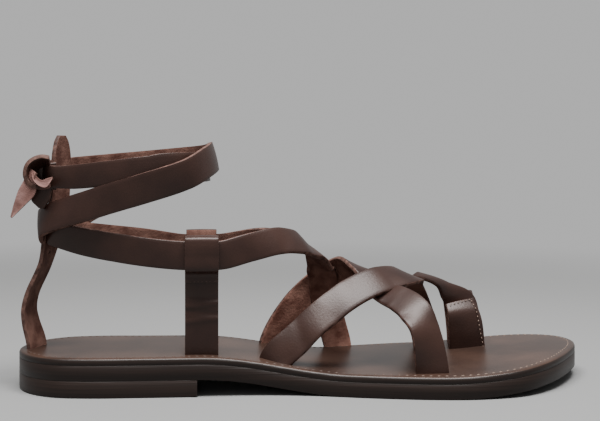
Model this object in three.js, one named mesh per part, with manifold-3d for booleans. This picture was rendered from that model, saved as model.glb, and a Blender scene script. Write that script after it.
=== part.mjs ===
// A right-foot strappy sandal, in millimetres, +Z up. The toe points along +X, the medial side is
// +Y and the lateral side is -Y. The origin is on the floor under the middle of the heel.
import * as THREE from 'three';
import * as BufferGeometryUtils from 'three/addons/utils/BufferGeometryUtils.js';
import Module from 'manifold-3d';

const wasm = await Module();
wasm.setup();

// Driving dimensions of the sole
const SOLE_LENGTH = 261;
const BALL_WIDTH = 91;
const HEEL_REACH = 32;
const OUTSOLE_THICKNESS = 6.4;
const INSOLE_THICKNESS = 3;
const HEEL_HEIGHT = 7.4;
const HEEL_LIFT_LENGTH = 80;
const SHANK_LENGTH = 66;
const TOE_SPRING = 4.8;
const SPRING_LENGTH = 77;

// Driving dimensions of the straps
const STRAP_THICKNESS = 2;
const CROSS_STRAP_WIDTH = 14.5;
const INSTEP_STRAP_WIDTH = 12.5;
const TIE_WIDTH = 13;
const HEEL_STRAP_WIDTH = 14.5;
const KEEPER_WIDTH = 14.5;
const TOE_LOOP_WIDTH = 15;
const INSTEP_HEIGHT = 51;
const ANKLE_HEIGHT = 86;
const HEEL_STRAP_HEIGHT = 95;
const SLIT_HEIGHT = 53;
const KEEPER_HEIGHT = 43.7;
const MEDIAL_KEEPER_DROP = 1.2;
const KEEPER_TURNUP = 31;
const TOE_LOOP_HEIGHT = 25;

// Clearances
const SEAM_GAP = 0.3;
const SLOT_CLEARANCE = 0.4;
const KEEPER_SLACK = 0.9;
const KEEPER_HEADROOM = 0.4;
const LAYER_BITE = 0.25;
const SLIT_APPROACH = 7;
const SLIT_SPREAD = 1.5;
const TURN_SPREAD = 0.5;

// How finely the curves are cut into flats
const SOLE_STATIONS = 64;
const STEPS_PER_ROW = 5;

const vec = (x, y, z) => new THREE.Vector3(x, y, z);
const HEEL_BACK = -HEEL_REACH;
const alongX = (share) => HEEL_BACK + share * SOLE_LENGTH;

// Solid helpers: a loft through rings of points, and joining and cutting with manifold-3d
function loft(rings) {
  const count = rings[0].length;
  const positions = [];
  const triangle = (a, b, c) => positions.push(...a.toArray(), ...b.toArray(), ...c.toArray());
  for (let i = 0; i + 1 < rings.length; i += 1) {
    for (let j = 0; j < count; j += 1) {
      const k = (j + 1) % count;
      triangle(rings[i][j], rings[i][k], rings[i + 1][k]);
      triangle(rings[i][j], rings[i + 1][k], rings[i + 1][j]);
    }
  }
  const first = rings[0];
  const last = rings[rings.length - 1];
  for (let j = 1; j + 1 < count; j += 1) {
    triangle(first[0], first[j + 1], first[j]);
    triangle(last[0], last[j], last[j + 1]);
  }
  const geometry = new THREE.BufferGeometry();
  geometry.setAttribute('position', new THREE.Float32BufferAttribute(positions, 3));
  return welded(geometry);
}

function welded(geometry) {
  const bare = geometry.clone();
  bare.deleteAttribute('normal');
  bare.deleteAttribute('uv');
  const merged = BufferGeometryUtils.mergeVertices(bare, 1e-4);
  const index = merged.getIndex().array;
  const kept = [];
  for (let i = 0; i < index.length; i += 3) {
    const [a, b, c] = [index[i], index[i + 1], index[i + 2]];
    if (a !== b && b !== c && c !== a) {
      kept.push(a, b, c);
    }
  }
  merged.setIndex(kept);
  return signedVolume(merged) < 0 ? turnedOut(merged) : merged;
}

function signedVolume(geometry) {
  const place = geometry.getAttribute('position');
  const index = geometry.getIndex().array;
  const [a, b, c] = [vec(), vec(), vec()];
  let volume = 0;
  for (let i = 0; i < index.length; i += 3) {
    a.fromBufferAttribute(place, index[i]);
    b.fromBufferAttribute(place, index[i + 1]);
    c.fromBufferAttribute(place, index[i + 2]);
    volume += a.dot(b.cross(c)) / 6;
  }
  return volume;
}

function turnedOut(geometry) {
  const index = Array.from(geometry.getIndex().array);
  for (let i = 0; i < index.length; i += 3) {
    [index[i], index[i + 1]] = [index[i + 1], index[i]];
  }
  geometry.setIndex(index);
  return geometry;
}

function solidOf(geometry) {
  const merged = welded(geometry);
  return new wasm.Manifold(new wasm.Mesh({
    numProp: 3,
    vertProperties: new Float32Array(merged.getAttribute('position').array),
    triVerts: new Uint32Array(merged.getIndex().array),
  }));
}

function geometryOf(solid) {
  const mesh = solid.getMesh();
  const geometry = new THREE.BufferGeometry();
  geometry.setAttribute('position', new THREE.Float32BufferAttribute(mesh.vertProperties, 3));
  geometry.setIndex(Array.from(mesh.triVerts));
  return geometry;
}

function joined(solids) {
  return solids.reduce((whole, solid) => whole.add(solid));
}

// Outline of the sole: a row for each section, along as a share of the sole's length, lateral and
// medial as shares of the ball width, each measured from the middle line of the heel
const OUTLINE = [
  { along: 0.019, lateral: 0.189, medial: 0.184 },
  { along: 0.065, lateral: 0.311, medial: 0.302 },
  { along: 0.123, lateral: 0.352, medial: 0.333 },
  { along: 0.218, lateral: 0.363, medial: 0.317 },
  { along: 0.314, lateral: 0.366, medial: 0.303 },
  { along: 0.410, lateral: 0.364, medial: 0.301 },
  { along: 0.494, lateral: 0.390, medial: 0.318 },
  { along: 0.602, lateral: 0.473, medial: 0.396 },
  { along: 0.697, lateral: 0.530, medial: 0.453 },
  { along: 0.774, lateral: 0.541, medial: 0.465 },
  { along: 0.851, lateral: 0.490, medial: 0.452 },
  { along: 0.912, lateral: 0.352, medial: 0.415 },
  { along: 0.964, lateral: 0.143, medial: 0.346 },
  { along: 0.990, lateral: -0.013, medial: 0.270 },
];
const TOE_ACROSS = 0.15 * BALL_WIDTH;

const lateralRows = OUTLINE.map((row) => vec(alongX(row.along), -row.lateral * BALL_WIDTH, 0));
const medialRows = OUTLINE.map((row) => vec(alongX(row.along), row.medial * BALL_WIDTH, 0));
const outlineCurve = new THREE.CatmullRomCurve3([
  vec(HEEL_BACK, 0, 0), ...lateralRows, vec(alongX(1), TOE_ACROSS, 0), ...medialRows.reverse(),
], true);

const OUTLINE_SAMPLES = 900;
const outlinePoints = outlineCurve.getPoints(OUTLINE_SAMPLES).slice(0, -1);
const heelIndex = outlinePoints.reduce((best, p, i) => (p.x < outlinePoints[best].x ? i : best), 0);
const fromHeel = [...outlinePoints.slice(heelIndex), ...outlinePoints.slice(0, heelIndex)];
const toeIndex = fromHeel.reduce((best, p, i) => (p.x > fromHeel[best].x ? i : best), 0);
const lateralEdge = fromHeel.slice(0, toeIndex + 1);
const medialEdge = [...fromHeel.slice(toeIndex), fromHeel[0]].reverse();
const OUTLINE_START = fromHeel[0].x;
const OUTLINE_END = fromHeel[toeIndex].x;

function edgeAt(edge, x) {
  const next = edge.findIndex((p) => p.x >= x);
  if (next <= 0) {
    return edge[next < 0 ? edge.length - 1 : 0].y;
  }
  const [a, b] = [edge[next - 1], edge[next]];
  return THREE.MathUtils.lerp(a.y, b.y, (x - a.x) / (b.x - a.x));
}

// Side view of the sole: level on the heel lift, down the shank, flat at the ball, up at the toe
const HEEL_BREAST = HEEL_BACK + HEEL_LIFT_LENGTH;
const SHANK_END = HEEL_BREAST + SHANK_LENGTH;
const SPRING_START = alongX(1) - SPRING_LENGTH;
const eased = (share) => (1 - Math.cos(Math.PI * THREE.MathUtils.clamp(share, 0, 1))) / 2;

function undersideAt(x) {
  const down = eased((x - HEEL_BREAST) / (SHANK_END - HEEL_BREAST));
  const up = eased((x - SPRING_START) / SPRING_LENGTH);
  return HEEL_HEIGHT * (1 - down) + TOE_SPRING * up;
}

const outsoleTopAt = (x) => undersideAt(x) + OUTSOLE_THICKNESS;
const insoleBottomAt = (x) => outsoleTopAt(x) + SEAM_GAP;
const insoleTopAt = (x) => insoleBottomAt(x) + INSOLE_THICKNESS;

function soleLayer(bottomAt, topAt, start, end) {
  const rings = [];
  for (let i = 0; i <= SOLE_STATIONS; i += 1) {
    const x = THREE.MathUtils.lerp(start, end, eased(i / SOLE_STATIONS));
    const [lateral, medial] = [edgeAt(lateralEdge, x), edgeAt(medialEdge, x)];
    rings.push([
      vec(x, lateral, bottomAt(x)), vec(x, medial, bottomAt(x)),
      vec(x, medial, topAt(x)), vec(x, lateral, topAt(x)),
    ]);
  }
  return loft(rings);
}

const outsole = soleLayer(undersideAt, outsoleTopAt, OUTLINE_START, OUTLINE_END);
const heelLift = soleLayer(() => 0, () => HEEL_HEIGHT - SEAM_GAP, OUTLINE_START, HEEL_BREAST);
const insoleBlank = soleLayer(insoleBottomAt, insoleTopAt, OUTLINE_START, OUTLINE_END);

// The middle of the foot that the straps were shaped on: from above the ankle, down to the instep
// and forward to the toes. A strap's outer face looks away from it.
const footMiddle = [
  vec(alongX(0.2), 0, 3 * ANKLE_HEIGHT),
  vec(alongX(0.2), 0, 1.2 * INSTEP_HEIGHT + HEEL_HEIGHT),
  vec(alongX(0.37), 0, 1.12 * INSTEP_HEIGHT + HEEL_HEIGHT),
  vec(alongX(0.506), 0.02 * BALL_WIDTH, 0.55 * INSTEP_HEIGHT + HEEL_HEIGHT),
  vec(alongX(0.735), 0.08 * BALL_WIDTH, 0.3 * INSTEP_HEIGHT + HEEL_HEIGHT),
  vec(alongX(1), 0.15 * BALL_WIDTH, 0.2 * INSTEP_HEIGHT + HEEL_HEIGHT),
];

function outwardAt(point) {
  let nearest = null;
  for (let i = 0; i + 1 < footMiddle.length; i += 1) {
    const span = new THREE.Line3(footMiddle[i], footMiddle[i + 1]);
    const spot = span.closestPointToPoint(point, true, vec());
    if (!nearest || spot.distanceTo(point) < nearest.distanceTo(point)) {
      nearest = spot;
    }
  }
  nearest.z = Math.min(nearest.z, point.z);
  return point.clone().sub(nearest).normalize();
}

// A strap runs through a row for each bend. Place is the middle of its inner face, over is how many
// strap layers it lies on there, turn rolls it about its own length in degrees, and wide is a share
// of its width.
function strapStations(rows, steps = STEPS_PER_ROW, outward = outwardAt) {
  const line = new THREE.CatmullRomCurve3(rows.map((row) => row.place));
  const extra = new THREE.CatmullRomCurve3(
    rows.map((row) => vec(row.over ?? 0, row.turn ?? 0, row.wide ?? 1)),
  );
  const count = (rows.length - 1) * steps;
  const stations = [];
  for (let i = 0; i <= count; i += 1) {
    const t = i / count;
    const place = line.getPoint(t);
    const tangent = line.getTangent(t);
    const { x: over, y: turn, z: wide } = extra.getPoint(t);
    const out = outward(place);
    out.addScaledVector(tangent, -out.dot(tangent)).normalize();
    out.applyAxisAngle(tangent, THREE.MathUtils.degToRad(turn));
    const across = vec().crossVectors(out, tangent).normalize();
    stations.push({ place, tangent, out, across, over, wide });
  }
  return stations;
}

function strap(rows, width, { grow = 0, outward = outwardAt } = {}) {
  const rings = strapStations(rows, STEPS_PER_ROW, outward).map(({ place, out, across, over, wide }) => {
    const half = (width * wide) / 2 + grow;
    const inner = place.clone().addScaledVector(out, over * (STRAP_THICKNESS - LAYER_BITE) - grow);
    const outer = inner.clone().addScaledVector(out, STRAP_THICKNESS + 2 * grow);
    return [
      inner.clone().addScaledVector(across, -half), inner.clone().addScaledVector(across, half),
      outer.clone().addScaledVector(across, half), outer.clone().addScaledVector(across, -half),
    ];
  });
  return solidOf(loft(rings));
}

// Places on the straps: along and across as shares of the sole, up as a share of the named height
function onFoot(along, across, up, height = INSTEP_HEIGHT) {
  const x = alongX(along);
  return vec(x, across * BALL_WIDTH, insoleTopAt(x) + up * height);
}

// The upright heel strap: its lower part follows the heel's curve and its upper part is twisted
// towards the lateral side by the pull of the tie
const heelStrapRows = [
  { place: onFoot(0.0315, 0, -0.06, HEEL_STRAP_HEIGHT), turn: -22 },
  { place: onFoot(0.0303, 0, 0.02, HEEL_STRAP_HEIGHT), turn: -22 },
  { place: onFoot(0.0208, 0, 0.12, HEEL_STRAP_HEIGHT), turn: -17 },
  { place: onFoot(0.0180, 0, 0.18, HEEL_STRAP_HEIGHT), turn: -14 },
  { place: onFoot(0.0226, 0, 0.25, HEEL_STRAP_HEIGHT), turn: -12 },
  { place: onFoot(0.046, 0, 0.40, HEEL_STRAP_HEIGHT), turn: -12 },
  { place: onFoot(0.058, 0, 0.55, HEEL_STRAP_HEIGHT), turn: -24 },
  { place: onFoot(0.068, 0, 0.68, HEEL_STRAP_HEIGHT), turn: -26 },
  { place: onFoot(0.072, 0, 0.84, HEEL_STRAP_HEIGHT), turn: -23 },
  { place: onFoot(0.073, 0, 0.93, HEEL_STRAP_HEIGHT), turn: -22, wide: 0.95 },
  { place: onFoot(0.073, 0, 0.98, HEEL_STRAP_HEIGHT), turn: -22, wide: 0.72 },
  { place: onFoot(0.073, 0, 1.01, HEEL_STRAP_HEIGHT), turn: -22, wide: 0.36 },
];

// The slit that both instep straps go through, in the heel strap's own frame
const SLIT_LENGTH = INSTEP_STRAP_WIDTH + 2 * SLOT_CLEARANCE + 1;
const SLIT_WIDTH = 2 * STRAP_THICKNESS + 3 * SLOT_CLEARANCE;
const slitHeight = insoleTopAt(HEEL_BACK) + SLIT_HEIGHT;
const slitStation = strapStations(heelStrapRows, 40).reduce(
  (best, s) => (Math.abs(s.place.z - slitHeight) < Math.abs(best.place.z - slitHeight) ? s : best),
);
const slitPlace = (back, aside) => slitStation.place.clone()
  .addScaledVector(slitStation.out, back)
  .addScaledVector(slitStation.across, aside);

const SLIT_SIDE = SLOT_CLEARANCE / 2;

function boxSolid(place, xAxis, yAxis, zAxis, size) {
  const box = new THREE.BoxGeometry(size.x, size.y, size.z);
  box.applyMatrix4(new THREE.Matrix4().makeBasis(xAxis, yAxis, zAxis).setPosition(place));
  return solidOf(box);
}

const slitCut = boxSolid(
  slitPlace(STRAP_THICKNESS / 2, 0), slitStation.out, slitStation.across,
  vec().crossVectors(slitStation.out, slitStation.across),
  vec(6 * STRAP_THICKNESS, SLIT_WIDTH, SLIT_LENGTH),
);

// Keepers: where the instep straps pass on each side of the ankle
const KEEPER_ALONG = 0.314;
const KEEPERS = {
  lateral: { side: -1, foot: 0.297, top: 0.319, drop: 0 },
  medial: { side: 1, foot: 0.253, top: 0.285, drop: MEDIAL_KEEPER_DROP },
};
const keeperAxis = (keeper) => onFoot(KEEPER_ALONG, keeper.side * keeper.top, 0)
  .setZ(insoleTopAt(alongX(KEEPER_ALONG)) + KEEPER_HEIGHT - keeper.drop);

function keeperRows(keeper) {
  const middle = keeperAxis(keeper);
  const reach = 0.6 * KEEPER_WIDTH;
  return [
    { place: middle.clone().add(vec(-reach, 0, 0)) },
    { place: middle.clone() },
    { place: middle.clone().add(vec(reach, 0, 0)) },
  ];
}

// Straps of the forefoot, each from the insole slot that it starts in
const SEATED = -0.14;
const instepRows = [
  { place: onFoot(0.573, 0.345, SEATED), wide: 1.12 },
  { place: onFoot(0.570, 0.345, 0.02), wide: 1.12 },
  { place: onFoot(0.560, 0.325, 0.20), wide: 1.12 },
  { place: onFoot(0.545, 0.265, 0.45), wide: 1.12 },
  { place: onFoot(0.530, 0.150, 0.77), wide: 1.1 },
  { place: onFoot(0.503, 0.010, 0.94), over: 1, wide: 1.06 },
  { place: onFoot(0.452, -0.160, 1.03), over: 0.6 },
  { place: onFoot(0.395, -0.265, 0.95) },
  ...keeperRows(KEEPERS.lateral).reverse(),
  { place: onFoot(0.210, -0.285, 0.89) },
  { place: onFoot(0.110, -0.150, 0.965) },
  { place: slitPlace(-SLIT_APPROACH, -SLIT_SIDE - SLIT_SPREAD), turn: 6 },
  { place: slitPlace(STRAP_THICKNESS / 2, -SLIT_SIDE) },
];
const medialInstepRows = [
  { place: onFoot(0.510, -0.030, 0.93) },
  { place: onFoot(0.480, 0.080, 0.99) },
  { place: onFoot(0.430, 0.200, 0.97) },
  ...keeperRows(KEEPERS.medial).reverse(),
  { place: onFoot(0.210, 0.270, 0.89) },
  { place: onFoot(0.110, 0.150, 0.965) },
  { place: slitPlace(-SLIT_APPROACH, SLIT_SIDE + SLIT_SPREAD) },
  { place: slitPlace(STRAP_THICKNESS / 2, SLIT_SIDE) },
];
const rearCrossRows = [
  { place: onFoot(0.430, -0.254, SEATED) },
  { place: onFoot(0.440, -0.256, 0.02) },
  { place: onFoot(0.512, -0.260, 0.42) },
  { place: onFoot(0.575, -0.205, 0.645) },
  { place: onFoot(0.630, -0.105, 0.705), over: 1 },
  { place: onFoot(0.680, 0.012, 0.705), over: 0.5 },
  { place: onFoot(0.715, 0.160, 0.61) },
  { place: onFoot(0.738, 0.310, 0.34) },
  { place: onFoot(0.747, 0.395, 0.04) },
  { place: onFoot(0.750, 0.402, SEATED) },
];
const frontCrossRows = [
  { place: onFoot(0.440, 0.262, SEATED) },
  { place: onFoot(0.446, 0.262, 0.02) },
  { place: onFoot(0.486, 0.262, 0.36), over: 0.4 },
  { place: onFoot(0.520, 0.235, 0.58), over: 1 },
  { place: onFoot(0.548, 0.140, 0.80), over: 0.7 },
  { place: onFoot(0.582, 0.005, 0.825) },
  { place: onFoot(0.614, -0.125, 0.715) },
  { place: onFoot(0.643, -0.250, 0.635) },
  { place: onFoot(0.666, -0.345, 0.535) },
  { place: onFoot(0.683, -0.405, 0.36) },
  { place: onFoot(0.695, -0.418, 0.03) },
  { place: onFoot(0.697, -0.418, SEATED) },
];

// The same two straps run on past the slit, to cut clear room for their ends
function throughSlit(rows) {
  const [before, last] = rows.slice(-2);
  return [...rows, { place: last.place.clone().multiplyScalar(2).sub(before.place) }];
}
const instepCutter = throughSlit(instepRows);
const medialInstepCutter = throughSlit(medialInstepRows);

// Toe loop: round the big toe, with a tongue that runs back to lie under the crossing
const toeUp = (share) => (share * TOE_LOOP_HEIGHT) / INSTEP_HEIGHT;
const toeMiddle = onFoot(0.81, 0.302, toeUp(0.4));
const outFromToe = (point) => vec(0, point.y - toeMiddle.y, Math.max(point.z - toeMiddle.z, 0)).normalize();
const toeLoopRows = [
  { place: onFoot(0.810, 0.206, SEATED) },
  { place: onFoot(0.810, 0.206, 0.02) },
  { place: onFoot(0.806, 0.204, toeUp(0.5)) },
  { place: onFoot(0.797, 0.230, toeUp(0.87)) },
  { place: onFoot(0.796, 0.302, toeUp(1.0)) },
  { place: onFoot(0.803, 0.376, toeUp(0.86)) },
  { place: onFoot(0.810, 0.402, toeUp(0.48)) },
  { place: onFoot(0.813, 0.398, 0.02) },
  { place: onFoot(0.813, 0.398, SEATED) },
];
const toeTongueRows = [
  { place: onFoot(0.685, 0.050, 0.665), wide: 0.8, turn: 10 },
  { place: onFoot(0.722, 0.120, 0.645), wide: 0.8, turn: 35 },
  { place: onFoot(0.757, 0.180, 0.575), wide: 0.85, turn: 55 },
  { place: onFoot(0.785, 0.215, 0.485), wide: 0.9, turn: 60 },
  { place: onFoot(0.800, 0.225, 0.42), wide: 0.9, turn: 60 },
];

// The tie goes twice round the ankle in two lengths. Both start at the slit, cross in front of the
// ankle and meet again behind the heel strap.
const onAnkle = (along, across, up) => onFoot(along, across, up, ANKLE_HEIGHT);
const behindHeel = STRAP_THICKNESS + SLOT_CLEARANCE;
const pastHeelStrap = HEEL_STRAP_WIDTH / 2 + STRAP_THICKNESS;
const upperTurnRows = [
  { place: slitPlace(behindHeel, SLIT_SIDE + TURN_SPREAD) },
  { place: slitPlace(behindHeel, 0.35 * HEEL_STRAP_WIDTH) },
  { place: slitPlace(0.2 * behindHeel, pastHeelStrap).add(vec(0, 0, 2)) },
  { place: onAnkle(0.125, 0.255, 0.74) },
  { place: onAnkle(0.200, 0.305, 0.82) },
  { place: onAnkle(0.272, 0.275, 0.90) },
  { place: onAnkle(0.313, 0.130, 0.94), turn: 8 },
  { place: onAnkle(0.316, -0.050, 0.945), turn: 13 },
  { place: onAnkle(0.289, -0.235, 0.95), turn: 6 },
  { place: onAnkle(0.228, -0.300, 0.94) },
  { place: onAnkle(0.160, -0.262, 0.92) },
  { place: onAnkle(0.098, -0.160, 0.90) },
  { place: onAnkle(0.050, -0.095, 0.90) },
  { place: onAnkle(0.040, 0.020, 0.90) },
];
const lowerTurnRows = [
  { place: slitPlace(behindHeel, -SLIT_SIDE - TURN_SPREAD) },
  { place: slitPlace(behindHeel, -0.35 * HEEL_STRAP_WIDTH) },
  { place: slitPlace(0.2 * behindHeel, -pastHeelStrap).add(vec(0, 0, 3)) },
  { place: onAnkle(0.139, -0.250, 0.77) },
  { place: onAnkle(0.212, -0.318, 0.84), over: 0.3 },
  { place: onAnkle(0.278, -0.302, 0.91), over: 1 },
  { place: onAnkle(0.314, -0.195, 0.97), over: 1, turn: -8 },
  { place: onAnkle(0.326, -0.040, 1.00), over: 1, turn: -14 },
  { place: onAnkle(0.317, 0.130, 0.99), over: 0.8, turn: -8 },
  { place: onAnkle(0.285, 0.250, 0.98), over: 0.5 },
  { place: onAnkle(0.235, 0.305, 0.965) },
  { place: onAnkle(0.145, 0.280, 0.94) },
  { place: onAnkle(0.078, 0.150, 0.92) },
  { place: onAnkle(0.040, 0.000, 0.90), over: 0.9 },
];

// Knot at the back: a curl of the tie seen end-on, its long pointed end and its short end. Each is
// a short band whose width lies across the heel.
const curlMiddle = onAnkle(0.044, -0.137, 0.915);
function knotBand(rows, width) {
  const line = new THREE.CatmullRomCurve3(rows.map((row) => vec(row.back, 0, row.up)));
  const share = new THREE.CatmullRomCurve3(
    rows.map((row) => vec(row.wide ?? 1, row.aside ?? 0, row.roll ?? 0)),
  );
  const count = (rows.length - 1) * STEPS_PER_ROW;
  const rings = [];
  for (let i = 0; i <= count; i += 1) {
    const t = i / count;
    const middle = line.getPoint(t);
    const tangent = line.getTangent(t);
    const { x: wide, y: aside, z: roll } = share.getPoint(t);
    const rolled = THREE.MathUtils.degToRad(roll);
    const out = vec(-tangent.z, 0, tangent.x).applyAxisAngle(tangent, rolled);
    const across = vec(0, 1, 0).applyAxisAngle(tangent, rolled);
    const ring = [[-1, -1], [-1, 1], [1, 1], [1, -1]].map(([layer, edge]) => curlMiddle.clone()
      .add(middle).add(vec(0, aside, 0))
      .addScaledVector(out, (layer * STRAP_THICKNESS) / 2)
      .addScaledVector(across, (edge * width * wide) / 2));
    rings.push(ring);
  }
  return solidOf(loft(rings));
}
const CURL_BACK = 5.2;
const CURL_UP = 6.2;
const curlRows = [
  { back: 0.75 * CURL_BACK, up: 0.95 * CURL_UP },
  { back: 0, up: CURL_UP },
  { back: -0.8 * CURL_BACK, up: 0.6 * CURL_UP },
  { back: -CURL_BACK, up: -0.1 * CURL_UP },
  { back: -0.6 * CURL_BACK, up: -0.75 * CURL_UP },
  { back: 0.2 * CURL_BACK, up: -CURL_UP },
  { back: 0.8 * CURL_BACK, up: -0.9 * CURL_UP },
];
const END_DROP = 20;
const KNOT_WIDTH = 0.75 * TIE_WIDTH;
const longEndRows = [
  { back: 0.3 * CURL_BACK, up: CURL_UP },
  { back: -0.8 * CURL_BACK, up: 0.8 * CURL_UP },
  { back: -1.35 * CURL_BACK, up: -0.12 * END_DROP, aside: -0.5, roll: 18 },
  { back: -1.75 * CURL_BACK, up: -0.38 * END_DROP, wide: 0.95, aside: -1.5, roll: 36 },
  { back: -2.25 * CURL_BACK, up: -0.7 * END_DROP, wide: 0.72, aside: -2.5, roll: 42 },
  { back: -2.9 * CURL_BACK, up: -END_DROP, wide: 0.12, aside: -3, roll: 42 },
];
const shortEndRows = [
  { back: 0.7 * CURL_BACK, up: -0.9 * CURL_UP },
  { back: 0.1 * CURL_BACK, up: -0.48 * END_DROP, aside: -1, roll: 20 },
  { back: -0.35 * CURL_BACK, up: -0.66 * END_DROP, wide: 0.9, aside: -2, roll: 34 },
  { back: -0.5 * CURL_BACK, up: -0.82 * END_DROP, wide: 0.5, aside: -2, roll: 38 },
];
const tieKnot = joined([
  knotBand(curlRows, KNOT_WIDTH), knotBand(longEndRows, KNOT_WIDTH),
  knotBand(shortEndRows, KNOT_WIDTH),
]).subtract(strap(upperTurnRows, TIE_WIDTH, { grow: SEAM_GAP }))
  .subtract(strap(lowerTurnRows, TIE_WIDTH, { grow: SEAM_GAP }));

// Keepers: one ply rises from its slot inside the instep strap, folds over the strap's top edge and
// comes down outside to be sewn to the first ply below it
function keeperSolid(keeper) {
  const middle = keeperAxis(keeper);
  const foot = onFoot(KEEPER_ALONG, keeper.side * keeper.foot, -0.95 * INSOLE_THICKNESS / INSTEP_HEIGHT);
  const up = middle.clone().sub(foot).normalize();
  const width = vec(1, 0, 0);
  const out = vec().crossVectors(up, width).multiplyScalar(keeper.side).normalize();
  const inner = -KEEPER_SLACK;
  const outer = STRAP_THICKNESS + KEEPER_SLACK;
  const holeTop = INSTEP_STRAP_WIDTH / 2 + KEEPER_HEADROOM;
  const footDepth = middle.distanceTo(foot);
  const turnupEnd = footDepth - KEEPER_TURNUP;
  const t = STRAP_THICKNESS;
  const shape = new THREE.Shape([
    [inner - t, -footDepth], [inner, -footDepth], [inner, -turnupEnd],
    [inner + t, -turnupEnd], [inner + t, -holeTop - t], [outer + t, -holeTop + t],
    [outer + t, holeTop - t / 2], [outer, holeTop + t], [inner, holeTop + t],
    [inner - t, holeTop - t / 2],
  ].map(([x, y]) => new THREE.Vector2(x, y)));
  shape.holes.push(new THREE.Path([
    [inner, -holeTop], [inner, holeTop], [outer, holeTop], [outer, -holeTop + t],
  ].map(([x, y]) => new THREE.Vector2(x, y))));
  const block = new THREE.ExtrudeGeometry(shape, { depth: KEEPER_WIDTH, bevelEnabled: false });
  block.translate(0, 0, -KEEPER_WIDTH / 2);
  block.applyMatrix4(new THREE.Matrix4().makeBasis(out, up, width).setPosition(middle));
  return solidOf(block);
}

// Slots in the insole take each strap's foot with a clearance all round
const slotFor = (rows, width) => strap(rows, width, { grow: SLOT_CLEARANCE });
function keeperSlot(keeper) {
  const foot = onFoot(KEEPER_ALONG, keeper.side * keeper.foot, 0);
  const lean = keeper.side * (-KEEPER_SLACK - STRAP_THICKNESS / 2);
  return boxSolid(foot.add(vec(0, lean, 0)), vec(1, 0, 0), vec(0, 1, 0), vec(0, 0, 1), vec(
    KEEPER_WIDTH + 2 * SLOT_CLEARANCE, STRAP_THICKNESS + 3 * SLOT_CLEARANCE, 4 * INSOLE_THICKNESS,
  ));
}

// Strap feet are trimmed just above the outsole
const trimRings = [];
const TRIM_STATIONS = 48;
for (let i = 0; i <= TRIM_STATIONS; i += 1) {
  const x = THREE.MathUtils.lerp(alongX(-0.1), alongX(1.1), i / TRIM_STATIONS);
  const top = outsoleTopAt(x) + SEAM_GAP;
  trimRings.push([
    vec(x, -BALL_WIDTH, -BALL_WIDTH), vec(x, BALL_WIDTH, -BALL_WIDTH),
    vec(x, BALL_WIDTH, top), vec(x, -BALL_WIDTH, top),
  ]);
}
const underFeet = solidOf(loft(trimRings));

const forefootStraps = joined([
  strap(instepRows, INSTEP_STRAP_WIDTH),
  strap(medialInstepRows, INSTEP_STRAP_WIDTH),
  strap(rearCrossRows, CROSS_STRAP_WIDTH),
  strap(frontCrossRows, CROSS_STRAP_WIDTH),
]).subtract(underFeet);

const toeLoop = joined([
  strap(toeLoopRows, TOE_LOOP_WIDTH, { outward: outFromToe }), strap(toeTongueRows, TOE_LOOP_WIDTH),
]).subtract(underFeet).subtract(
  strap(rearCrossRows, CROSS_STRAP_WIDTH, { grow: SEAM_GAP }),
);

const heelStrap = [
  slitCut,
  strap(instepCutter, INSTEP_STRAP_WIDTH, { grow: SLOT_CLEARANCE }),
  strap(medialInstepCutter, INSTEP_STRAP_WIDTH, { grow: SLOT_CLEARANCE }),
  underFeet,
].reduce((whole, cut) => whole.subtract(cut), strap(heelStrapRows, HEEL_STRAP_WIDTH));
const ankleTie = joined([strap(upperTurnRows, TIE_WIDTH), strap(lowerTurnRows, TIE_WIDTH)])
  .subtract(strap(heelStrapRows, HEEL_STRAP_WIDTH, { grow: SEAM_GAP }));
const keeperLateral = keeperSolid(KEEPERS.lateral).subtract(underFeet)
  .subtract(strap(instepCutter, INSTEP_STRAP_WIDTH, { grow: SEAM_GAP }));
const keeperMedial = keeperSolid(KEEPERS.medial).subtract(underFeet)
  .subtract(strap(medialInstepCutter, INSTEP_STRAP_WIDTH, { grow: SEAM_GAP }));

const insole = [
  slotFor(instepRows, INSTEP_STRAP_WIDTH),
  slotFor(rearCrossRows, CROSS_STRAP_WIDTH),
  slotFor(frontCrossRows, CROSS_STRAP_WIDTH),
  strap(toeLoopRows, TOE_LOOP_WIDTH, { grow: SLOT_CLEARANCE, outward: outFromToe }),
  slotFor(heelStrapRows, HEEL_STRAP_WIDTH),
  keeperSlot(KEEPERS.lateral),
  keeperSlot(KEEPERS.medial),
].reduce((whole, slot) => whole.subtract(slot), solidOf(insoleBlank));

// The assembly
const leather = (color, roughness) => new THREE.MeshStandardMaterial({ color, roughness, metalness: 0 });
const soleEdge = leather(0x2a1a14, 0.45);
const glossyTop = leather(0x4a2a1e, 0.25);
const strapLeather = leather(0x3a2824, 0.55);
const fleshSide = leather(0x6e4137, 0.85);

const sandal = new THREE.Group();
function add(name, geometry, material) {
  const mesh = new THREE.Mesh(geometry, material);
  mesh.name = name;
  sandal.add(mesh);
}
add('outsole', outsole, soleEdge);
add('heel_lift', heelLift, soleEdge);
add('insole', geometryOf(insole), glossyTop);
add('forefoot_straps', geometryOf(forefootStraps), strapLeather);
add('toe_loop', geometryOf(toeLoop), strapLeather);
add('keeper_lateral', geometryOf(keeperLateral), strapLeather);
add('keeper_medial', geometryOf(keeperMedial), strapLeather);
add('heel_strap', geometryOf(heelStrap), strapLeather);
add('ankle_tie', geometryOf(ankleTie), strapLeather);
add('tie_knot', geometryOf(tieKnot), fleshSide);

export default sandal;
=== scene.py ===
"""Looks of the strappy sandal, right foot.

Sizes are in millimetres until a mesh is finished. Materials, studio and camera are in metres.
"""
import math
from collections import namedtuple

import bmesh
import bpy
from mathutils import Matrix, Vector


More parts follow.
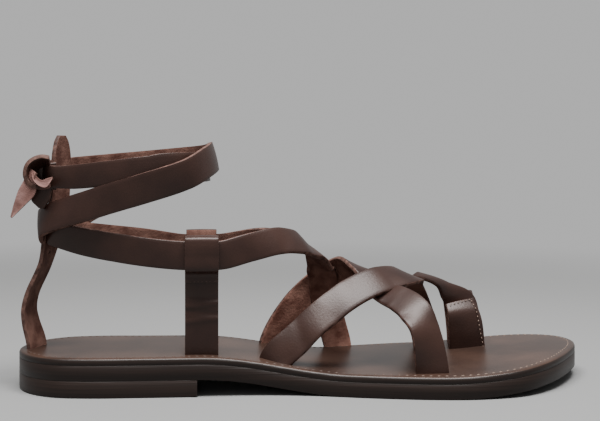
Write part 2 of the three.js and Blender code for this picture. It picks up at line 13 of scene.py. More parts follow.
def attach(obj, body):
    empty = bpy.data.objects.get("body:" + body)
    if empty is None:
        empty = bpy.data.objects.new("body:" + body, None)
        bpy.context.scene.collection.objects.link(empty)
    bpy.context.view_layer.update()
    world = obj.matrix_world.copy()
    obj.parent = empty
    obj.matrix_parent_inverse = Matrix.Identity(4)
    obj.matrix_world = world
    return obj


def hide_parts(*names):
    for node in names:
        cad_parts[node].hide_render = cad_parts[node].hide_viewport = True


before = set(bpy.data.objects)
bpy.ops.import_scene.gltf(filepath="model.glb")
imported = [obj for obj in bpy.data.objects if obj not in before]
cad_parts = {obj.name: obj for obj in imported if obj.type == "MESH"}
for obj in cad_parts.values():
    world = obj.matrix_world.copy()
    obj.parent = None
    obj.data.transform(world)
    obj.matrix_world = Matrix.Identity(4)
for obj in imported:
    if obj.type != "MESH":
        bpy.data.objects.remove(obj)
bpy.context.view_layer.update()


# Outsole: one thick bend of sole leather, cut round the last's outline, its edge waxed and
# burnished dark. It steps down from the heel to the ball and springs up a little at the toe.
SOLE_LENGTH = 261.0
BALL_WIDTH = 91.0
HEEL_BACK = -32.0
HEEL_HEIGHT = 7.4
HEEL_BREAST = 48.0
SHANK_LENGTH = 66.0
TOE_SPRING = 4.8
SPRING_LENGTH = 77.0
OUTSOLE_THICKNESS = 6.4
INSOLE_THICKNESS = 3.0
SEAM_GAP = 0.3
SOLE_STATIONS = 110
OUTLINE_SAMPLES = 900
PAST_TOE = 1000.0
TOE_TIP_ACROSS = 0.15
TOO_CLOSE = 1e-4
TANGENT_STEP = 0.0001
EDGE_BREAK = 0.1
FACE_INSET = 2.5
MERGE_WITHIN = 0.002
BUMP_DEPTH = 0.0003
MM = 0.001
SOLE_DARK = (0.0080, 0.0042, 0.0030)
SOLE_WARM = (0.0135, 0.0074, 0.0054)
# Rows are (share of the length, lateral and medial half widths as shares of the ball's width).
OUTLINE = [
    (0.019, 0.189, 0.184), (0.065, 0.311, 0.302), (0.123, 0.352, 0.333), (0.218, 0.363, 0.317),
    (0.314, 0.366, 0.303), (0.410, 0.364, 0.301), (0.494, 0.390, 0.318), (0.602, 0.473, 0.396),
    (0.697, 0.530, 0.453), (0.774, 0.541, 0.465), (0.851, 0.490, 0.452), (0.912, 0.352, 0.415),
    (0.964, 0.143, 0.346), (0.990, -0.013, 0.270),
]


def along_x(share):
    return HEEL_BACK + share * SOLE_LENGTH


def eased(share):
    return (1 - math.cos(math.pi * min(1.0, max(0.0, share)))) / 2


def underside(x):
    down = eased((x - HEEL_BREAST) / SHANK_LENGTH)
    up = eased((x - (along_x(1) - SPRING_LENGTH)) / SPRING_LENGTH)
    return HEEL_HEIGHT * (1 - down) + TOE_SPRING * up


def outsole_top(x):
    return underside(x) + OUTSOLE_THICKNESS


def insole_top(x):
    return outsole_top(x) + SEAM_GAP + INSOLE_THICKNESS


def curve_point(points, t, closed=False):
    """A place at share t of a centripetal curve through the points."""
    count = len(points)
    spans = (count if closed else count - 1) * t
    i = math.floor(spans)
    share = spans - i
    if closed:
        before, start, end, after = (points[(i + k) % count] for k in (-1, 0, 1, 2))
    else:
        if i >= count - 1:
            i, share = count - 2, 1.0
        start, end = points[i], points[i + 1]
        before = points[i - 1] if i else start * 2 - end
        after = points[i + 2] if i + 2 < count else end * 2 - start
    step_in = (before - start).length_squared ** 0.25
    step = (start - end).length_squared ** 0.25
    step_out = (end - after).length_squared ** 0.25
    step = 1.0 if step < TOO_CLOSE else step
    step_in = step if step_in < TOO_CLOSE else step_in
    step_out = step if step_out < TOO_CLOSE else step_out
    leaving = ((start - before) / step_in - (end - before) / (step_in + step) + (end - start) / step) * step
    arriving = ((end - start) / step - (after - start) / (step + step_out) + (after - end) / step_out) * step
    bent = start * -3 + end * 3 - leaving * 2 - arriving
    eased_in = start * 2 - end * 2 + leaving + arriving
    return start + leaving * share + bent * share**2 + eased_in * share**3


def curve_tangent(points, t):
    low, high = max(0.0, t - TANGENT_STEP), min(1.0, t + TANGENT_STEP)
    return (curve_point(points, high) - curve_point(points, low)).normalized()


def sole_outline():
    """The sole's lateral and medial edges, both from the heel to the toe."""
    lateral = [Vector((along_x(share), -half * BALL_WIDTH, 0)) for share, half, _ in OUTLINE]
    medial = [Vector((along_x(share), half * BALL_WIDTH, 0)) for share, _, half in OUTLINE]
    toe_tip = Vector((along_x(1), TOE_TIP_ACROSS * BALL_WIDTH, 0))
    corners = [Vector((HEEL_BACK, 0, 0)), *lateral, toe_tip, *medial[::-1]]
    samples = range(OUTLINE_SAMPLES)
    ring = [curve_point(corners, i / OUTLINE_SAMPLES, True) for i in samples]
    heel = min(samples, key=lambda i: ring[i].x)
    ring = ring[heel:] + ring[:heel]
    toe = max(samples, key=lambda i: ring[i].x)
    return ring[:toe + 1], (ring[toe:] + ring[:1])[::-1]


LATERAL_EDGE, MEDIAL_EDGE = sole_outline()


def edge_at(edge, x):
    for a, b in zip(edge, edge[1:]):
        if b.x >= x:
            return a.lerp(b, 0 if b.x == a.x else max(0.0, (x - a.x) / (b.x - a.x)))
    return edge[-1]


def sole_ring(end_x):
    """Places on the lateral and on the medial edge, from the heel to end_x."""
    first = LATERAL_EDGE[0].x
    last = min(end_x, LATERAL_EDGE[-1].x)
    xs = [first + (last - first) * eased(i / SOLE_STATIONS) for i in range(SOLE_STATIONS + 1)]
    lateral = [edge_at(LATERAL_EDGE, x) for x in xs]
    medial = [edge_at(MEDIAL_EDGE, x) for x in xs]
    return lateral, medial


def sole_block(end_x, profile):
    """A closed layer of the sole. The profile is a list of (inset, height function), bottom to top."""
    lateral, medial = sole_ring(end_x)
    ring = lateral + medial[-2:0:-1] if end_x > LATERAL_EDGE[-1].x else lateral + medial[::-1][:-1]
    count = len(ring)
    bm = bmesh.new()
    rows = []
    for inset, height in profile:
        row = []
        for i, place in enumerate(ring):
            side = ring[(i + 1) % count] - ring[i - 1]
            out = Vector((side.y, -side.x, 0))
            out = -out.normalized() if out.length > 1e-6 else Vector((0, 0, 0))
            spot = place + out * inset
            row.append(bm.verts.new((spot.x, spot.y, height(place.x))))
        rows.append(row)
    for low, high in zip(rows, rows[1:]):
        for i in range(count):
            j = (i + 1) % count
            bm.faces.new((low[i], low[j], high[j], high[i]))
    half = len(lateral) - 1
    for row in (rows[0], rows[-1]):
        for i in range(half):
            a, b = row[i], row[i + 1]
            c, d = row[(count - i - 1) % count], row[(count - i) % count]
            corners = list(dict.fromkeys((a, b, c, d)))
            if len(corners) > 2:
                bm.faces.new(corners)
    return bm


def finished(name, bm, materials, node):
    """Puts a mesh in millimetres into the scene as a piece that replaces the part's node."""
    bmesh.ops.remove_doubles(bm, verts=bm.verts, dist=MERGE_WITHIN)
    bmesh.ops.scale(bm, vec=(MM, MM, MM), verts=bm.verts)
    bmesh.ops.recalc_face_normals(bm, faces=bm.faces)
    for face in bm.faces:
        face.smooth = True
    mesh = bpy.data.meshes.new(name)
    bm.to_mesh(mesh)
    bm.free()
    for item in materials:
        mesh.materials.append(item)
    piece = bpy.data.objects.new(name, mesh)
    bpy.context.scene.collection.objects.link(piece)
    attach(piece, "root")
    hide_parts(node)


def surface(name, roughness, shine, bump, bump_scale, stretch=(1, 1, 1)):
    """A material with a fine bump from noise. Gives the node tree, the shader and the mapping."""
    made = bpy.data.materials.new(name)
    made.use_nodes = True
    tree = made.node_tree
    shader = tree.nodes["Principled BSDF"]
    shader.inputs["Roughness"].default_value = roughness
    shader.inputs["Specular IOR Level"].default_value = shine
    place = tree.nodes.new("ShaderNodeTexCoord")
    mapping = tree.nodes.new("ShaderNodeMapping")
    mapping.inputs["Scale"].default_value = stretch
    tree.links.new(place.outputs["Object"], mapping.inputs["Vector"])
    noise = tree.nodes.new("ShaderNodeTexNoise")
    noise.inputs["Scale"].default_value = bump_scale
    noise.inputs["Detail"].default_value = 4
    tree.links.new(mapping.outputs["Vector"], noise.inputs["Vector"])
    bumped = tree.nodes.new("ShaderNodeBump")
    bumped.inputs["Strength"].default_value = bump
    bumped.inputs["Distance"].default_value = BUMP_DEPTH
    tree.links.new(noise.outputs["Fac"], bumped.inputs["Height"])
    tree.links.new(bumped.outputs["Normal"], shader.inputs["Normal"])
    return made, tree, shader, mapping


def mottled(tree, shader, mapping, scale, dark, light, low=0.35, high=0.65):
    """The base colour goes from dark to light with a noise of the given scale."""
    noise = tree.nodes.new("ShaderNodeTexNoise")
    noise.inputs["Scale"].default_value = scale
    noise.inputs["Detail"].default_value = 5
    ramp = tree.nodes.new("ShaderNodeValToRGB")
    ramp.color_ramp.elements[0].position = low
    ramp.color_ramp.elements[0].color = (*dark, 1)
    ramp.color_ramp.elements[1].position = high
    ramp.color_ramp.elements[1].color = (*light, 1)
    tree.links.new(mapping.outputs["Vector"], noise.inputs["Vector"])
    tree.links.new(noise.outputs["Fac"], ramp.inputs["Fac"])
    tree.links.new(ramp.outputs["Color"], shader.inputs["Base Color"])
    return ramp


sole_edge, tree, shader, mapping = surface(
    "sole_edge", roughness=0.42, shine=0.24, bump=0.35, bump_scale=260, stretch=(0.12, 0.12, 6),
)
mottled(tree, shader, mapping, scale=130, dark=SOLE_DARK, light=SOLE_WARM)
bm = sole_block(PAST_TOE, [
    (FACE_INSET, underside), (EDGE_BREAK, underside), (0, lambda x: underside(x) + EDGE_BREAK),
    (0, lambda x: outsole_top(x) + 0.5 * SEAM_GAP),
    (EDGE_BREAK, lambda x: outsole_top(x) + 0.75 * SEAM_GAP),
    (FACE_INSET, lambda x: outsole_top(x) + 0.75 * SEAM_GAP),
])
finished("outsole_look", bm, [sole_edge], "outsole")


# Heel lift: a short stack of sole leather nailed under the heel, straight at its front face and
# burnished with the outsole. It reaches the floor.
LIFT_SEAM_Z = HEEL_HEIGHT - 0.5 * SEAM_GAP
LIFT_TOP_Z = HEEL_HEIGHT - 0.2 * SEAM_GAP
# Rows are (inset, height), from the floor up.
LIFT_PROFILE = [
    (FACE_INSET, 0.0), (0.5, 0.0), (0.1, 0.3), (0.0, 0.8),
    (0.0, LIFT_SEAM_Z), (EDGE_BREAK, LIFT_TOP_Z), (FACE_INSET, LIFT_TOP_Z),
]
bm = sole_block(HEEL_BREAST, [(inset, lambda x, z=z: z) for inset, z in LIFT_PROFILE])
finished("heel_lift_look", bm, [sole_edge], "heel_lift")


# Insole: a thin glossy leather sheet cemented on top, duller under the heel, its edge skived round.
# It is stitched round near its edge, with thread that is dark up to the ball and paler at the toe.
INSOLE_DARK = (0.0210, 0.0115, 0.0085)
INSOLE_WARM = (0.0420, 0.0230, 0.0165)
STITCH_INSET = 3.2
STITCH_PITCH = 3.4
STITCH_LENGTH = 1.9
THREAD_RADIUS = 0.28
THREAD_SUNK = 0.05
THREAD_COLOUR = (0.15, 0.102, 0.078)
THREAD_DARK = (0.060, 0.036, 0.027)
THREAD_DARK_TO = 0.120
THREAD_LIGHT_FROM = 0.165
DULL_SHINE = 0.09
FULL_SHINE = 0.255
DULL_TO = -0.025
FULL_SHINE_FROM = 0.060
INSOLE_SHINE_TINT = (1.0, 0.93, 0.89, 1.0)
UPRIGHT_FACE = 0.5
# Rows are (inset, drop below the top), up the skived edge and on to the flat.
SKIVED_EDGE = [(0.0, 1.3), (0.35, 0.5), (1.0, 0.12), (1.8, 0.0), (3.2, 0.0)]
glossy, tree, shader, mapping = surface(
    "glossy_insole", roughness=0.33, shine=FULL_SHINE, bump=0.12, bump_scale=700,
)
mottled(tree, shader, mapping, scale=34, dark=INSOLE_DARK, light=INSOLE_WARM)
split = tree.nodes.new("ShaderNodeSeparateXYZ")
tree.links.new(mapping.outputs["Vector"], split.inputs["Vector"])
shine = tree.nodes.new("ShaderNodeMapRange")
shine.inputs["From Min"].default_value = DULL_TO
shine.inputs["From Max"].default_value = FULL_SHINE_FROM
shine.inputs["To Min"].default_value = DULL_SHINE
shine.inputs["To Max"].default_value = FULL_SHINE
tree.links.new(split.outputs["X"], shine.inputs["Value"])
tree.links.new(shine.outputs["Result"], shader.inputs["Specular IOR Level"])
shader.inputs["Specular Tint"].default_value = INSOLE_SHINE_TINT


def insole_bottom(x):
    return outsole_top(x) + SEAM_GAP


bm = sole_block(PAST_TOE, [
    (FACE_INSET, insole_bottom), (EDGE_BREAK, insole_bottom),
    (0, lambda x: insole_bottom(x) + EDGE_BREAK),
    *((inset, lambda x, drop=drop: insole_top(x) - drop) for inset, drop in SKIVED_EDGE),
])
bm.normal_update()
for face in bm.faces:
    face.material_index = 1 if abs(face.normal.z) < UPRIGHT_FACE else 0
finished("insole_look", bm, [glossy, sole_edge], "insole")

thread, tree, shader, mapping = surface("thread", roughness=0.6, shine=0.4, bump=0.2, bump_scale=2500)
split = tree.nodes.new("ShaderNodeSeparateXYZ")
tree.links.new(mapping.outputs["Vector"], split.inputs["Vector"])
waxed = tree.nodes.new("ShaderNodeValToRGB")
waxed.color_ramp.elements[0].position = THREAD_DARK_TO
waxed.color_ramp.elements[0].color = (*THREAD_DARK, 1)
waxed.color_ramp.elements[1].position = THREAD_LIGHT_FROM
waxed.color_ramp.elements[1].color = (*THREAD_COLOUR, 1)
tree.links.new(split.outputs["X"], waxed.inputs["Fac"])
tree.links.new(waxed.outputs["Color"], shader.inputs["Base Color"])


def stitches(bm, places, ups, pitch=STITCH_PITCH, length=STITCH_LENGTH, radius=THREAD_RADIUS):
    """Short stitches laid along the places, each a small long bead sunk to its middle."""
    travelled, due = 0.0, pitch / 2
    for (a, b), up in zip(zip(places, places[1:]), ups):
        step = (b - a).length
        while due <= travelled + step:
            spot = a.lerp(b, (due - travelled) / step)
            along = (b - a).normalized()
            side = up.cross(along).normalized()
            frame_of = Matrix((along, side, along.cross(side))).transposed().to_4x4()
            size = Matrix.Diagonal((length / 2, radius, radius, 1))
            bmesh.ops.create_icosphere(
                bm, subdivisions=1, radius=1, matrix=Matrix.Translation(spot) @ frame_of @ size,
            )
            due += pitch
        travelled += step


def insole_seam():
    """Places on the insole a stitch's inset from its edge, lateral side, toe and medial side."""
    lateral, medial = sole_ring(PAST_TOE)
    ring = lateral + medial[-2:0:-1]
    line = []
    for i, place in enumerate(ring):
        side = ring[(i + 1) % len(ring)] - ring[i - 1]
        out = Vector((-side.y, side.x, 0)).normalized()
        spot = place + out * STITCH_INSET
        line.append(Vector((spot.x, spot.y, insole_top(place.x) - THREAD_SUNK)))
    return line[2:-2]


bm = bmesh.new()
line = insole_seam()
stitches(bm, line, [Vector((0, 0, 1))] * len(line))
finished("insole_stitches", bm, [thread], "insole")


# Instep strap: one ply of waxed leather, grain side out, its rust flesh side painted paler near the sole as
# painted bounce light from the insole, and a little darker higher up as painted shade.
# From its slot on the medial side it crosses the ridge of the foot, runs back through the lateral
# keeper and into the heel strap's slit.
STRAP_THICKNESS = 2.0
LAYER_BITE = 0.25
INSTEP_WIDTH = 12.5
INSTEP_HEIGHT = 51.0
ANKLE_HEIGHT = 86.0
HEEL_STRAP_HEIGHT = 95.0
HEEL_STRAP_WIDTH = 14.5
KEEPER_WIDTH = 14.5
KEEPER_HEIGHT = 43.7
KEEPER_ALONG = 0.314
# (side, share of the ball's width across at the top, drop of the top in millimetres)
LATERAL_KEEPER = (-1, 0.319, 0)
MEDIAL_KEEPER = (1, 0.285, 1.2)
SLIT_HEIGHT = 53.0
SLIT_SIDE = 0.2
SEATED = -0.14
CUT_ROUND = 0.4
CORNER_ANGLE = 1.2
FACE_TOWARDS = 0.6
GRAIN_DARK = (0.0140, 0.0050, 0.0034)
GRAIN_WARM = (0.0260, 0.0105, 0.0072)
FLESH_DARK = (0.062, 0.026, 0.019)
FLESH_LIGHT = (0.130, 0.066, 0.050)
CUT_COLOUR = (0.120, 0.062, 0.048)
GRAIN_SHINE_TINT = (1.0, 0.94, 0.91, 1.0)
PAINTED_BOUNCE_TO = 0.022
PAINTED_SHADE_FROM = 0.052
PAINTED_BOUNCE_BRIGHTNESS = 2.3
PAINTED_SHADE_BRIGHTNESS = 0.95

grain, tree, shader, mapping = surface(
    "strap_grain", roughness=0.41, shine=0.33, bump=0.22, bump_scale=1100,
)
shader.inputs["Specular Tint"].default_value = GRAIN_SHINE_TINT
mottled(tree, shader, mapping, scale=45, dark=GRAIN_DARK, light=GRAIN_WARM)
flesh, tree, shader, mapping = surface("strap_flesh", roughness=0.9, shine=0.15, bump=0.8, bump_scale=900)
mottled(tree, shader, mapping, scale=160, dark=FLESH_DARK, light=FLESH_LIGHT)
# The front straps' flesh: painted bounce light from the insole makes it brighter low down, and painted shade
# makes it a little darker higher up.
bounce_lit_flesh, tree, shader, mapping = surface(
    "bounce_lit_flesh", roughness=0.9, shine=0.15, bump=0.8, bump_scale=900,
)
rust = mottled(tree, shader, mapping, scale=160, dark=FLESH_DARK, light=FLESH_LIGHT)
split = tree.nodes.new("ShaderNodeSeparateXYZ")
tree.links.new(mapping.outputs["Vector"], split.inputs["Vector"])
painted_light_ramp = tree.nodes.new("ShaderNodeMapRange")
painted_light_ramp.inputs["From Min"].default_value = PAINTED_BOUNCE_TO
painted_light_ramp.inputs["From Max"].default_value = PAINTED_SHADE_FROM
painted_light_ramp.inputs["To Min"].default_value = PAINTED_BOUNCE_BRIGHTNESS
painted_light_ramp.inputs["To Max"].default_value = PAINTED_SHADE_BRIGHTNESS
tree.links.new(split.outputs["Z"], painted_light_ramp.inputs["Value"])
bounce_lit_colour = tree.nodes.new("ShaderNodeHueSaturation")
tree.links.new(rust.outputs["Color"], bounce_lit_colour.inputs["Color"])
tree.links.new(painted_light_ramp.outputs["Result"], bounce_lit_colour.inputs["Value"])
tree.links.new(bounce_lit_colour.outputs["Color"], shader.inputs["Base Color"])
cut_edge, tree, shader, mapping = surface("strap_cut", roughness=0.7, shine=0.25, bump=0.5, bump_scale=900)
mottled(tree, shader, mapping, scale=300, dark=GRAIN_WARM, light=CUT_COLOUR)
STRAP_LOOKS = [grain, flesh, cut_edge]
FRONT_LOOKS = [grain, bounce_lit_flesh, cut_edge]

# A cross-section of a strap: a place on its outer face, three directions and half its width.
Station = namedtuple("Station", "face along out across half")
# The middle line of the foot, from the leg down to the toes.
FOOT_MIDDLE = [
    Vector((along_x(0.2), 0, 3 * ANKLE_HEIGHT)),
    Vector((along_x(0.2), 0, 1.2 * INSTEP_HEIGHT + HEEL_HEIGHT)),
    Vector((along_x(0.37), 0, 1.12 * INSTEP_HEIGHT + HEEL_HEIGHT)),
    Vector((along_x(0.506), 0.02 * BALL_WIDTH, 0.55 * INSTEP_HEIGHT + HEEL_HEIGHT)),
    Vector((along_x(0.735), 0.08 * BALL_WIDTH, 0.3 * INSTEP_HEIGHT + HEEL_HEIGHT)),
    Vector((along_x(1), TOE_TIP_ACROSS * BALL_WIDTH, 0.2 * INSTEP_HEIGHT + HEEL_HEIGHT)),
]


def outward_at(point):
    """Away from the middle of the foot that the straps were shaped on."""
    spots = []
    for a, b in zip(FOOT_MIDDLE, FOOT_MIDDLE[1:]):
        share = (point - a).dot(b - a) / (b - a).length_squared
        spots.append(a.lerp(b, min(1.0, max(0.0, share))))
    nearest = min(spots, key=lambda spot: (spot - point).length)
    nearest.z = min(nearest.z, point.z)
    return (point - nearest).normalized()


def on_foot(along, across, up, height=INSTEP_HEIGHT):
    x = along_x(along)
    return Vector((x, across * BALL_WIDTH, insole_top(x) + up * height))


def on_ankle(along, across, up):
    return on_foot(along, across, up, ANKLE_HEIGHT)


def strap_stations(rows, steps, width, outward=outward_at):
    """Stations of a strap from rows of (place, plies below it, turn in degrees, share of the width)."""
    places = [row[0] for row in rows]
    extra = [Vector((*row[1:], *(0, 0, 1)[len(row) - 1:])) for row in rows]
    count = (len(rows) - 1) * steps
    stations = []
    for i in range(count + 1):
        t = i / count
        place, tangent = curve_point(places, t), curve_tangent(places, t)
        over, turn, wide = curve_point(extra, t)
        out = outward(place)
        out = (out - tangent * out.dot(tangent)).normalized()
        out = Matrix.Rotation(math.radians(turn), 3, tangent) @ out
        face = place + out * (over * (STRAP_THICKNESS - LAYER_BITE) + STRAP_THICKNESS)
        across = out.cross(tangent).normalized()
        stations.append(Station(face, tangent, out, across, width * wide / 2))
    return stations


def lengths_along(stations):
    total, result = 0.0, [0.0]
    for a, b in zip(stations, stations[1:]):
        total += (b.face - a.face).length
        result.append(total)
    return result


def crease_lift(creases, length, share):
    """Creases are (at, lean, reach, lift): a soft ridge or trough across the strap, in millimetres."""
    return sum(
        lift * math.exp(-((length - at - lean * share) / reach) ** 2)
        for at, lean, reach, lift in creases
    )


def band(stations, columns=9, creases=(), crown=0.35, thickness=STRAP_THICKNESS, keep=None):
    """A strap's mesh: a sheet on its outer face, thickened inwards, with its cut edges rounded."""
    lengths = lengths_along(stations)
    last = len(stations) - 1
    bm = bmesh.new()
    bmesh.ops.create_grid(bm, x_segments=last, y_segments=columns - 1, size=1)
    row_of = bm.verts.layers.int.new("row")
    for vert in bm.verts:
        share = vert.co.y
        i = round((vert.co.x + 1) / 2 * last)
        station = stations[i]
        lift = crease_lift(creases, lengths[i], share) - crown * share**2
        vert[row_of] = i
        vert.co = station.face + station.across * (share * station.half) + station.out * lift
    if keep:
        gone = [face for face in bm.faces if not keep(face.calc_center_median())]
        bmesh.ops.delete(bm, geom=gone, context="FACES")
    sheets = set(bm.faces)
    shell = bmesh.ops.extrude_face_region(bm, geom=bm.faces[:], use_keep_orig=True)
    sheets |= {part for part in shell["geom"] if isinstance(part, bmesh.types.BMFace)}
    for vert in shell["geom"]:
        if isinstance(vert, bmesh.types.BMVert):
            vert.co -= stations[vert[row_of]].out * thickness
    bmesh.ops.recalc_face_normals(bm, faces=bm.faces)
    sharp = []
    for edge in bm.edges:
        sides = 2 - len(sheets.intersection(edge.link_faces))
        if sides == 1 or sides == 2 and edge.calc_face_angle() > CORNER_ANGLE:
            sharp.append(edge)
    bmesh.ops.bevel(
        bm, geom=sharp, offset=CUT_ROUND, offset_type="OFFSET", segments=2, profile=0.5,
        affect="EDGES", material=-1, clamp_overlap=True,
    )
    for face in bm.faces:
        rows = [min(max(vert[row_of], 0), last) for vert in face.verts]
        out = sum((stations[row].out for row in rows), Vector())
        facing = face.normal.dot(out.normalized())
        face.material_index = 0 if facing > FACE_TOWARDS else 1 if facing < -FACE_TOWARDS else 2
    return bm


def ruled_stations(left, right, steps=8):
    """Stations of a strap that twists, from its two long edges."""
    count = (len(left) - 1) * steps
    middles = [(Vector(a) + Vector(b)) / 2 for a, b in zip(left, right)]
    spans = [Vector(b) - Vector(a) for a, b in zip(left, right)]
    stations = []
    for i in range(count + 1):
        middle, span = curve_point(middles, i / count), curve_point(spans, i / count)
        across, tangent = span.normalized(), curve_tangent(middles, i / count)
        out = tangent.cross(across).normalized()
        stations.append(Station(middle, tangent, out, across, span.length / 2))
    return stations


# The heel strap's line, from its foot to its rounded top. The instep straps end in its slit.
HEEL_STRAP_ROWS = [
    (on_foot(0.0315, 0, -0.06, HEEL_STRAP_HEIGHT), 0, -22),
    (on_foot(0.0303, 0, 0.02, HEEL_STRAP_HEIGHT), 0, -22),
    (on_foot(0.0208, 0, 0.12, HEEL_STRAP_HEIGHT), 0, -17),
    (on_foot(0.0180, 0, 0.18, HEEL_STRAP_HEIGHT), 0, -14),
    (on_foot(0.0226, 0, 0.25, HEEL_STRAP_HEIGHT), 0, -12),
    (on_foot(0.046, 0, 0.40, HEEL_STRAP_HEIGHT), 0, -12),
    (on_foot(0.058, 0, 0.55, HEEL_STRAP_HEIGHT), 0, -24),
    (on_foot(0.068, 0, 0.68, HEEL_STRAP_HEIGHT), 0, -26),
    (on_foot(0.072, 0, 0.84, HEEL_STRAP_HEIGHT), 0, -23),
    (on_foot(0.073, 0, 0.93, HEEL_STRAP_HEIGHT), 0, -22, 0.95),
    (on_foot(0.073, 0, 0.98, HEEL_STRAP_HEIGHT), 0, -22, 0.72),
    (on_foot(0.073, 0, 1.01, HEEL_STRAP_HEIGHT), 0, -22, 0.36),
]
SLIT_Z = insole_top(HEEL_BACK) + SLIT_HEIGHT
slit = min(
    strap_stations(HEEL_STRAP_ROWS, steps=40, width=HEEL_STRAP_WIDTH),
    key=lambda station: abs((station.face - station.out * STRAP_THICKNESS).z - SLIT_Z),
)


def slit_place(back, aside, lift=0):
    """A place in the heel strap's own frame at its slit."""
    inner = slit.face - slit.out * STRAP_THICKNESS
    return inner + slit.out * back + slit.across * aside + Vector((0, 0, lift))


def keeper_rows(side, top, drop):
    """The three rows of a strap that passes straight through a keeper, front to back."""
    middle = on_foot(KEEPER_ALONG, side * top, 0)
    middle.z = insole_top(along_x(KEEPER_ALONG)) + KEEPER_HEIGHT - drop
    reach = Vector((0.6 * KEEPER_WIDTH, 0, 0))
    return [(middle + reach,), (middle,), (middle - reach,)]


INSTEP_ROWS = [
    (on_foot(0.573, 0.345, SEATED), 0, 0, 1.12), (on_foot(0.570, 0.345, 0.02), 0, 0, 1.12),
    (on_foot(0.560, 0.325, 0.20), 0, 0, 1.12), (on_foot(0.545, 0.265, 0.45), 0, 0, 1.12),
    (on_foot(0.530, 0.150, 0.77), 0, 0, 1.1), (on_foot(0.503, 0.010, 0.94), 1, 0, 1.06),
    (on_foot(0.452, -0.160, 1.03), 0.6), (on_foot(0.395, -0.265, 0.95),),
    *keeper_rows(*LATERAL_KEEPER),
    (on_foot(0.210, -0.285, 0.89),), (on_foot(0.110, -0.150, 0.965),),
    (slit_place(-2.6, -6.2), 0, 6), (slit_place(STRAP_THICKNESS / 2, -SLIT_SIDE),),
]
INSTEP_CREASES = [(75, 2, 4, -0.5), (84, -1, 3, 0.35), (96, 2, 3.5, -0.35), (175, 2, 3, -0.4)]
bm = band(strap_stations(INSTEP_ROWS, steps=12, width=INSTEP_WIDTH), creases=INSTEP_CREASES)
finished("instep_strap", bm, FRONT_LOOKS, "forefoot_straps")


# Medial instep strap: one ply of the same leather, sewn under the instep strap at the ridge. It runs
# back through the medial keeper to the same slit.
MEDIAL_ROWS = [
    (on_foot(0.510, -0.030, 0.93),), (on_foot(0.480, 0.080, 0.99),), (on_foot(0.430, 0.200, 0.97),),
    *keeper_rows(*MEDIAL_KEEPER),
    (on_foot(0.210, 0.270, 0.89),), (on_foot(0.110, 0.150, 0.965),),
    (slit_place(-7, SLIT_SIDE + 1.5),), (slit_place(STRAP_THICKNESS / 2, SLIT_SIDE),),
]
bm = band(strap_stations(MEDIAL_ROWS, steps=12, width=INSTEP_WIDTH), creases=[(50, 2, 4, -0.4)])
finished("medial_instep_strap", bm, STRAP_LOOKS, "forefoot_straps")


# Rear cross strap: one ply of waxed leather with both feet in slots. From the lateral arch it crosses
# over the front cross strap at the ridge and goes down on the medial side of the ball.
CROSS_WIDTH = 14.5
REAR_CROSS_ROWS = [
    (on_foot(0.430, -0.254, SEATED),), (on_foot(0.440, -0.256, 0.02),),
    (on_foot(0.473, -0.262, 0.21), 0, -18), (on_foot(0.512, -0.260, 0.42), 0, -38),
    (on_foot(0.575, -0.205, 0.645), 0, -22),
    (on_foot(0.630, -0.105, 0.700), 1.3, -2), (on_foot(0.680, 0.012, 0.700), 0.8),
    (on_foot(0.692, 0.155, 0.61),), (on_foot(0.720, 0.310, 0.36),),
    (on_foot(0.747, 0.395, 0.04),), (on_foot(0.750, 0.402, SEATED),),
]
REAR_CROSS_CREASES = [(24, 3, 3, -0.3), (50, 3, 4, 0.3)]
bm = band(strap_stations(REAR_CROSS_ROWS, steps=12, width=CROSS_WIDTH), creases=REAR_CROSS_CREASES)
finished("rear_cross_strap", bm, STRAP_LOOKS, "forefoot_straps")


# Front cross strap: one ply with both feet in slots, from the medial arch over the ridge and down to
# the lateral side of the ball. It is worked a little narrower where the rear cross strap lies on it.
FRONT_CROSS_ROWS = [
    (on_foot(0.440, 0.262, SEATED),), (on_foot(0.446, 0.262, 0.02),),
    (on_foot(0.486, 0.262, 0.36), 0.4), (on_foot(0.526, 0.230, 0.59), 1, -8),
    (on_foot(0.571, 0.135, 0.765), 0.7, -28), (on_foot(0.598, 0.000, 0.790), 0, -8, 0.9),
    (on_foot(0.622, -0.125, 0.635), 0, -6, 0.82), (on_foot(0.651, -0.250, 0.585), 0, 2, 0.92),
    (on_foot(0.670, -0.345, 0.510), 0, 0), (on_foot(0.683, -0.405, 0.36), 0, -20),
    (on_foot(0.695, -0.418, 0.03),), (on_foot(0.697, -0.418, SEATED),),
]
bm = band(strap_stations(FRONT_CROSS_ROWS, steps=12, width=CROSS_WIDTH), creases=[(95, 3, 3, -0.4)])
finished("front_cross_strap", bm, FRONT_LOOKS, "forefoot_straps")


# Toe loop: a strap round the big toe with both feet in slots. A second strap comes from under the
# crossing and covers the loop's lateral leg, with a short ply stitched on its outside.
TOE_LOOP_WIDTH = 15.0
TOE_LOOP_HEIGHT = 25.0
TOE_STRAP_THICKNESS = 1.8
TOE_PLY_THICKNESS = 1.7
TOE_STITCH = {"pitch": 2.1, "length": 1.2, "radius": 0.27}


def toe_up(share):
    return share * TOE_LOOP_HEIGHT / INSTEP_HEIGHT


TOE_MIDDLE = on_foot(0.81, 0.302, toe_up(0.4))


def out_from_toe(point):
    return Vector((0, point.y - TOE_MIDDLE.y, max(point.z - TOE_MIDDLE.z, 0))).normalized()


